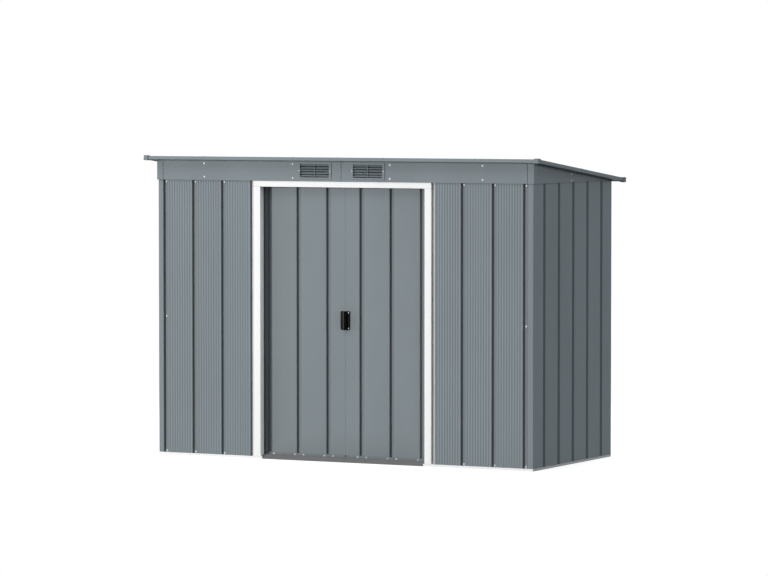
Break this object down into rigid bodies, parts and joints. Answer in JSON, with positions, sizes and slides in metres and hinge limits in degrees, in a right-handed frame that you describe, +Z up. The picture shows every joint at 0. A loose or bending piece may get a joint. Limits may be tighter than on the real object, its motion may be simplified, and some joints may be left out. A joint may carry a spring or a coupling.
{
  "type": "metal tool shed",
  "caption": "Pent-roofed metal tool shed of grooved sheet panels with a pair of sliding doors, white door frame, louvred fascia vents and base rails.",
  "frame": {"origin": "on the ground under the middle of the roof", "axes": "+Z up, doors face -Y, +X to the right when facing the doors from outside turned to +Y"},
  "size_m": [2.5664, 1.2093, 1.7655],
  "materials": {
    "panel_paint": "satin grey paint on rolled sheet",
    "trim_white": "white paint",
    "zinc": "bright galvanised sheet",
    "worn_zinc": "galvanised sheet, dull and worn",
    "black_plastic": "moulded black plastic",
    "grey_plastic": "moulded grey plastic",
    "glide_plastic": "natural nylon"
  },
  "bodies": {
    "shed": {"back_panel_1": "panel_paint", "back_panel_2": "panel_paint", "back_panel_3": "panel_paint", "back_panel_4": "panel_paint", "base_rail_back": "worn_zinc", "base_rail_left": "worn_zinc", "base_rail_right": "worn_zinc", "base_rails_front": "trim_white", "door_bottom_track": "zinc", "door_header": "trim_white", "door_jambs": "trim_white", "door_ramp": "worn_zinc", "door_top_track": "zinc", "fascia_corners": "panel_paint", "fascia_left": "panel_paint", "fascia_right": "panel_paint", "front_beam": "zinc", "front_panel_left": "panel_paint", "front_panel_right": "panel_paint", "gable_left": "panel_paint", "gable_right": "panel_paint", "left_wall_back": "panel_paint", "left_wall_front": "panel_paint", "right_wall_back": "panel_paint", "right_wall_front": "panel_paint", "roof_corner_caps": "grey_plastic", "roof_panel_1": "panel_paint", "roof_panel_2": "panel_paint", "roof_panel_3": "panel_paint", "roof_panel_4": "panel_paint", "roof_purlin": "zinc", "roof_trim_back": "panel_paint", "roof_trim_front": "panel_paint", "roof_trim_left": "panel_paint", "roof_trim_right": "panel_paint", "top_rail_back": "zinc", "top_rail_left": "zinc", "top_rail_right": "zinc", "vent_left": "panel_paint", "vent_right": "panel_paint"},
    "left_door": {"left_door_glides": "glide_plastic", "left_door_handle": "black_plastic", "left_door_rails": "panel_paint", "left_door_sheet": "panel_paint"},
    "right_door": {"right_door_glides": "glide_plastic", "right_door_handle": "black_plastic", "right_door_rails": "panel_paint", "right_door_sheet": "panel_paint"}
  },
  "joints": [
    {"name": "left_door_slide", "type": "slide", "parent": "shed", "child": "left_door", "axis": [-1, 0, 0], "range_m": [0, 0.48]},
    {"name": "right_door_slide", "type": "slide", "parent": "shed", "child": "right_door", "axis": [1, 0, 0], "range_m": [0, 0.48]}
  ]
}
